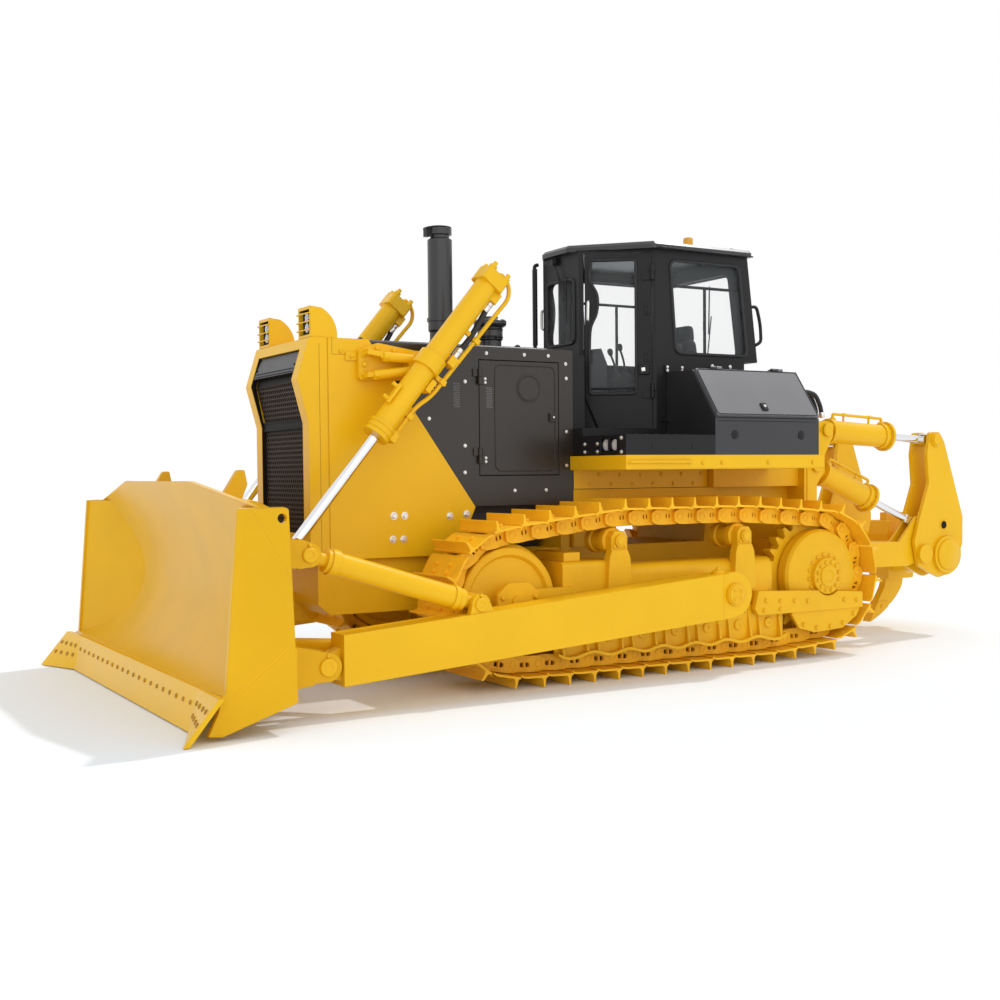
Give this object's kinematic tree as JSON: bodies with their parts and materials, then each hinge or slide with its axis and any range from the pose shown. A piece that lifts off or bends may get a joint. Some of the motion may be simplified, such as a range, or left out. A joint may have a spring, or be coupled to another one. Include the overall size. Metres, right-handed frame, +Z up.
{
  "type": "crawler bulldozer",
  "caption": "Crawler bulldozer with a wide curved blade on push arms, a closed cab and a rear ripper; blade, ripper, cab doors, engine doors and box lids move.",
  "frame": {"origin": "on the ground under the middle of the overall box, half-way between blade tips and ripper, on the machine's centre plane", "axes": "+X forward towards the blade, +Y to the driver's left, +Z up"},
  "size_m": [8.337, 4.13, 3.653],
  "materials": {
    "yellow_paint": "semi-gloss enamel",
    "black_paint": "satin enamel",
    "track_steel": "painted steel, worn",
    "grille_black": "matte",
    "engine_iron": "matte",
    "rod_chrome": "polished",
    "pin_steel": "machined",
    "window_glass": "clear",
    "seat_fabric": "woven",
    "console_plastic": "grained"
  },
  "bodies": {
    "chassis": {"track_left": "track_steel", "track_right": "track_steel", "sprockets": "yellow_paint", "final_drives": "yellow_paint", "idlers": "yellow_paint", "track_rollers": "yellow_paint", "carrier_rollers": "yellow_paint", "track_frame_left": "yellow_paint", "track_frame_right": "yellow_paint", "main_frame": "yellow_paint", "engine": "engine_iron", "radiator_guard": "yellow_paint", "grille": "grille_black", "hood": "black_paint", "exhaust_stack": "black_paint", "air_precleaner": "black_paint", "headlamps": "yellow_paint", "lift_yokes": "yellow_paint", "fenders": "yellow_paint", "steps": "black_paint", "cab_base": "black_paint", "fuel_tank": "black_paint", "service_boxes": "black_paint", "cab_frame": "black_paint", "cab_roof": "black_paint", "cab_glass": "window_glass", "seat": "seat_fabric", "console": "console_plastic", "ripper_bracket": "yellow_paint"},
    "dozer": {"blade": "yellow_paint", "cutting_edge": "yellow_paint", "push_arm_left": "yellow_paint", "push_arm_right": "yellow_paint", "brace_left": "yellow_paint", "tilt_cylinder": "yellow_paint"},
    "lift_barrels": {"lift_barrels": "yellow_paint"},
    "lift_rods": {"lift_rods": "rod_chrome"},
    "ripper_arm": {"ripper_arm": "yellow_paint"},
    "ripper_pins": {"ripper_pins": "pin_steel"},
    "ripper_frame": {"ripper_frame": "yellow_paint", "ripper_shank": "yellow_paint"},
    "ripper_lift_barrels": {"ripper_lift_barrels": "yellow_paint"},
    "ripper_lift_rods": {"ripper_lift_rods": "rod_chrome"},
    "ripper_pitch_barrels": {"ripper_pitch_barrels": "yellow_paint"},
    "ripper_pitch_rods": {"ripper_pitch_rods": "rod_chrome"},
    "cab_door_left": {"cab_door_left": "black_paint", "door_glass_left": "window_glass"},
    "cab_door_right": {"cab_door_right": "black_paint", "door_glass_right": "window_glass"},
    "engine_door_left": {"engine_door_left": "black_paint"},
    "engine_door_right": {"engine_door_right": "black_paint"},
    "box_lid_left": {"box_lid_left": "black_paint"},
    "box_lid_right": {"box_lid_right": "black_paint"}
  },
  "joints": [
    {"name": "blade_lift", "type": "hinge", "parent": "chassis", "child": "dozer", "pos_m": [-0.4325, 0, 0.64], "axis": [0, -1, 0], "range_deg": [-7.3, 20.3]},
    {"name": "lift_barrel_swing", "type": "hinge", "parent": "chassis", "child": "lift_barrels", "pos_m": [1.8705, 0, 2.454], "axis": [0, -1, 0], "range_deg": [-10.07, 27.46]},
    {"name": "lift_rod_slide", "type": "slide", "parent": "lift_barrels", "child": "lift_rods", "axis": [0.6373, 0, -0.7706], "range_m": [-0.9999, 0.3609]},
    {"name": "ripper_lift", "type": "hinge", "parent": "chassis", "child": "ripper_arm", "pos_m": [-2.3485, 0, 0.809], "axis": [0, 1, 0], "range_deg": [-22, 25]},
    {"name": "ripper_level", "type": "hinge", "parent": "ripper_arm", "child": "ripper_pins", "pos_m": [-3.6085, 0, 0.795], "axis": [0, 1, 0], "range_deg": [-25.3, 22.3]},
    {"name": "ripper_pitch", "type": "hinge", "parent": "ripper_pins", "child": "ripper_frame", "pos_m": [-3.6085, 0, 0.795], "axis": [0, 1, 0], "range_deg": [-10, 10]},
    {"name": "ripper_lift_barrel_swing", "type": "hinge", "parent": "chassis", "child": "ripper_lift_barrels", "pos_m": [-2.1885, 0, 1.663], "axis": [0, 1, 0], "range_deg": [-15.51, 17.59]},
    {"name": "ripper_lift_rod_slide", "type": "slide", "parent": "ripper_lift_barrels", "child": "ripper_lift_rods", "axis": [-0.9259, 0, -0.3777], "range_m": [-0.3236, 0.285]},
    {"name": "ripper_pitch_barrel_swing", "type": "hinge", "parent": "chassis", "child": "ripper_pitch_barrels", "pos_m": [-2.3195, 0, 1.992], "axis": [0, 1, 0], "range_deg": [-19.45, 22.06]},
    {"name": "ripper_pitch_rod_slide", "type": "slide", "parent": "ripper_pitch_barrels", "child": "ripper_pitch_rods", "axis": [-0.9984, 0, -0.0565], "range_m": [-0.1972, 0.1972]},
    {"name": "cab_door_left", "type": "hinge", "parent": "chassis", "child": "cab_door_left", "pos_m": [-0.3383, 0.69652, 2.74], "axis": [0, 0, 1], "range_deg": [0, 120]},
    {"name": "cab_door_right", "type": "hinge", "parent": "chassis", "child": "cab_door_right", "pos_m": [-0.3383, -0.69652, 2.74], "axis": [0, 0, -1], "range_deg": [0, 120]},
    {"name": "engine_door_left", "type": "hinge", "parent": "chassis", "child": "engine_door_left", "pos_m": [1.2815, 0.579, 2.065], "axis": [0, 0, -1], "range_deg": [0, 95]},
    {"name": "engine_door_right", "type": "hinge", "parent": "chassis", "child": "engine_door_right", "pos_m": [1.2815, -0.579, 2.065], "axis": [0, 0, 1], "range_deg": [0, 95]},
    {"name": "box_lid_left", "type": "hinge", "parent": "chassis", "child": "box_lid_left", "pos_m": [-1.0505, 1.07512, 2.48816], "axis": [1, 0, 0], "range_deg": [0, 100]},
    {"name": "box_lid_right", "type": "hinge", "parent": "chassis", "child": "box_lid_right", "pos_m": [-1.0505, -1.07512, 2.48816], "axis": [-1, 0, 0], "range_deg": [0, 100]}
  ],
  "couplings": [
    {"joint": "lift_barrel_swing", "follows": "blade_lift", "ratio": 1.3379},
    {"joint": "lift_rod_slide", "follows": "blade_lift", "m_per_rad": -2.8166},
    {"joint": "ripper_level", "follows": "ripper_lift", "ratio": -1},
    {"joint": "ripper_lift_barrel_swing", "follows": "ripper_lift", "ratio": 0.6915},
    {"joint": "ripper_lift_rod_slide", "follows": "ripper_lift", "m_per_rad": -0.7371},
    {"joint": "ripper_pitch_barrel_swing", "follows": "ripper_lift", "ratio": 0.8704},
    {"joint": "ripper_pitch_rod_slide", "follows": "ripper_pitch", "m_per_rad": -1.1187}
  ]
}
